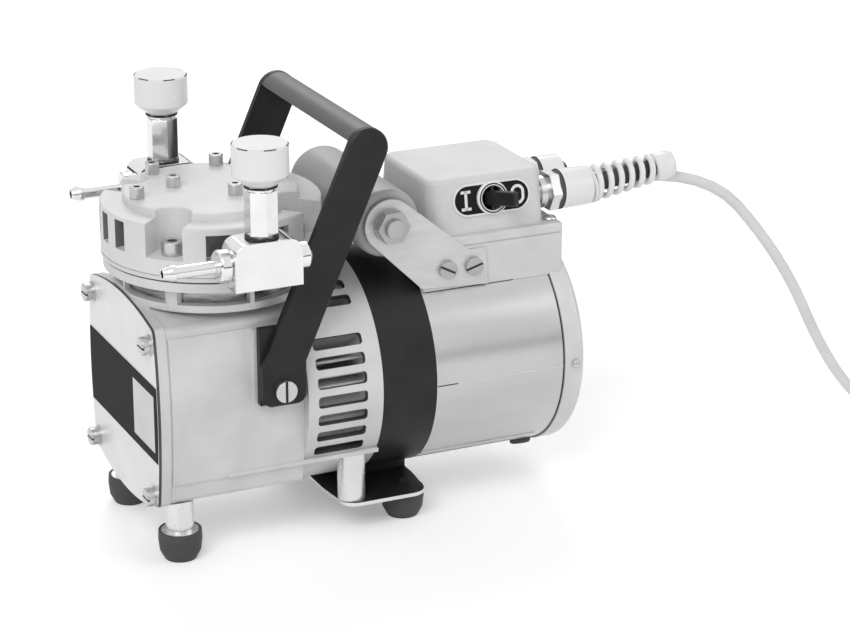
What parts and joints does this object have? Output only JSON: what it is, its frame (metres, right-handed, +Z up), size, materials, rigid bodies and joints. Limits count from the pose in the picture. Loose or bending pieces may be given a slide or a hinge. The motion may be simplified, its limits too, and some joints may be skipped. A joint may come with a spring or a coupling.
{
  "type": "diaphragm vacuum pump",
  "caption": "Portable diaphragm vacuum pump with a capacitor motor, round valve head, regulating valves with hose nozzles, carrying handle, terminal box with toggle switch and mains cord",
  "frame": {"origin": "centre of the footprint of the pump and motor, on the surface that the feet stand on, without the free mains cord", "axes": "+X from the pump end to the motor end along the shaft, +Y to the far side, +Z up"},
  "size_m": [0.6912, 0.1958, 0.257],
  "materials": {
    "body_casting": "cast, satin",
    "plate_steel": "brushed",
    "bright_steel": "polished",
    "screw_steel": "zinc plated",
    "black_paint": "satin black",
    "grey_paint": "satin grey",
    "label": "printed foil",
    "black_rubber": "matt",
    "fluoro": "moulded fluoropolymer",
    "white_plastic": "moulded",
    "grey_plastic": "moulded",
    "black_plastic": "moulded",
    "core_iron": "laminated",
    "copper": "enamelled wire",
    "cord_sheath": "pale grey sheath"
  },
  "bodies": {
    "pump": {"bend_protector": "white_plastic", "blanking_cap": "white_plastic", "bracket_screws": "screw_steel", "cap_screws": "screw_steel", "capacitor": "grey_plastic", "capacitor_bracket": "plate_steel", "capacitor_nut": "screw_steel", "clamp_ring": "body_casting", "cord_coil": "cord_sheath", "cord_tie": "black_plastic", "cover_screws": "screw_steel", "cover_washers": "screw_steel", "crankcase": "body_casting", "diaphragm": "black_rubber", "end_cap": "body_casting", "fan_housing": "body_casting", "foot_plate": "black_paint", "foot_posts": "plate_steel", "foot_screws": "screw_steel", "foot_washers": "plate_steel", "front_cover": "body_casting", "gland_body": "white_plastic", "gland_nut": "white_plastic", "handle_arms": "black_paint", "handle_grip": "black_plastic", "handle_screws": "screw_steel", "head_bolts": "screw_steel", "head_cover": "fluoro", "hose_nozzles": "bright_steel", "label_band": "label", "mains_cord": "cord_sheath", "mains_plug": "grey_plastic", "motor_shell": "grey_paint", "plate_screws": "screw_steel", "rubber_feet": "black_rubber", "shaft_bearings": "plate_steel", "stator_band": "black_paint", "stator_core": "core_iron", "switch_bushing": "plate_steel", "switch_plate": "black_plastic", "terminal_base": "body_casting", "terminal_lid": "grey_plastic", "top_plate": "plate_steel", "valve_blocks": "bright_steel", "valve_columns": "bright_steel", "valve_plugs": "bright_steel", "valve_unions": "bright_steel", "windings": "copper"},
    "rotating_parts": {"motor_shaft": "plate_steel", "rotor": "core_iron", "fan": "grey_plastic", "eccentric": "core_iron"},
    "rod": {"connecting_rod": "body_casting", "clamp_disc": "plate_steel", "rod_bearing": "plate_steel"},
    "near_knob": {"knob_near": "white_plastic"},
    "far_knob": {"knob_far": "white_plastic"},
    "lever": {"switch_lever": "black_plastic"},
    "inlet_valve": {"inlet_disc": "black_rubber"},
    "outlet_valve": {"outlet_disc": "black_rubber"}
  },
  "joints": [
    {"name": "motor_turn", "type": "hinge", "parent": "pump", "child": "rotating_parts", "pos_m": [-0.085, 0, 0.09], "axis": [1, 0, 0], "continuous": true},
    {"name": "rod_on_eccentric", "type": "hinge", "parent": "rotating_parts", "child": "rod", "pos_m": [-0.085, 0, 0.094], "axis": [1, 0, 0], "continuous": true, "deforming": ["diaphragm"]},
    {"name": "near_knob_turn", "type": "hinge", "parent": "pump", "child": "near_knob", "pos_m": [-0.085, -0.0817, 0.233], "axis": [0, 0, 1], "range_deg": [-135, 135]},
    {"name": "far_knob_turn", "type": "hinge", "parent": "pump", "child": "far_knob", "pos_m": [-0.085, 0.0817, 0.233], "axis": [0, 0, 1], "range_deg": [-135, 135]},
    {"name": "switch_tip", "type": "hinge", "parent": "pump", "child": "lever", "pos_m": [0.0791, -0.03872, 0.1916], "axis": [0, 0.1789, 0.9839], "range_deg": [-40, 0]},
    {"name": "inlet_lift", "type": "slide", "parent": "pump", "child": "inlet_valve", "axis": [0, 0, -1], "range_m": [0, 0.001]},
    {"name": "outlet_lift", "type": "slide", "parent": "pump", "child": "outlet_valve", "axis": [0, 0, 1], "range_m": [0, 0.0012]}
  ],
  "couplings": [
    {"joint": "rod_on_eccentric", "follows": "motor_turn", "ratio": -1}
  ]
}
